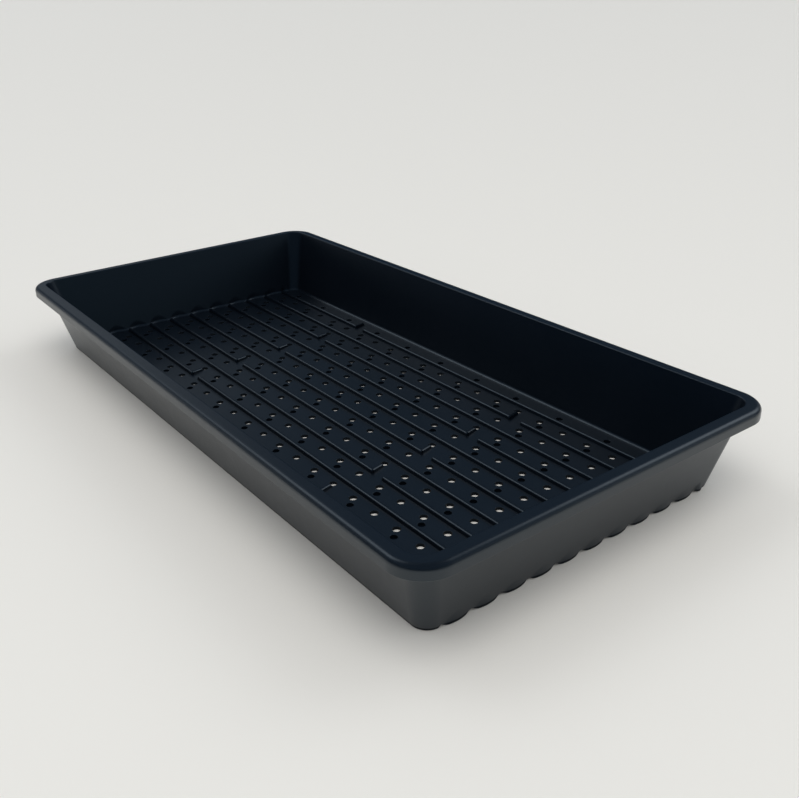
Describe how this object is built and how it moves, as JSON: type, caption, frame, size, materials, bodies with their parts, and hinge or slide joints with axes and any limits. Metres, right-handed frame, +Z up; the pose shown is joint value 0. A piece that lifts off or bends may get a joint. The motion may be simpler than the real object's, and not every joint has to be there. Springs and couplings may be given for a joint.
{
  "type": "microgreen growing tray",
  "caption": "Shallow rectangular growing tray with drafted walls, a turned-down rim and a ridged floor with drain holes, dimples and water gaps.",
  "frame": {"origin": "on the ground under the middle of the tray", "axes": "+X along the length, along the floor's ridges, +Y across, +Z up out of the open top"},
  "size_m": [0.54, 0.2746, 0.0575],
  "materials": {
    "tray_plastic": "semi-matt moulded charcoal plastic"
  },
  "bodies": {
    "root": {"floor_panel": "tray_plastic", "wall_front": "tray_plastic", "wall_back": "tray_plastic", "wall_left": "tray_plastic", "wall_right": "tray_plastic", "rim_ledge_front": "tray_plastic", "rim_ledge_back": "tray_plastic", "rim_ledge_left": "tray_plastic", "rim_ledge_right": "tray_plastic", "rim_skirt_front": "tray_plastic", "rim_skirt_back": "tray_plastic", "rim_skirt_left": "tray_plastic", "rim_skirt_right": "tray_plastic", "corner_front_left": "tray_plastic", "corner_back_left": "tray_plastic", "corner_front_right": "tray_plastic", "corner_back_right": "tray_plastic"}
  },
  "joints": []
}
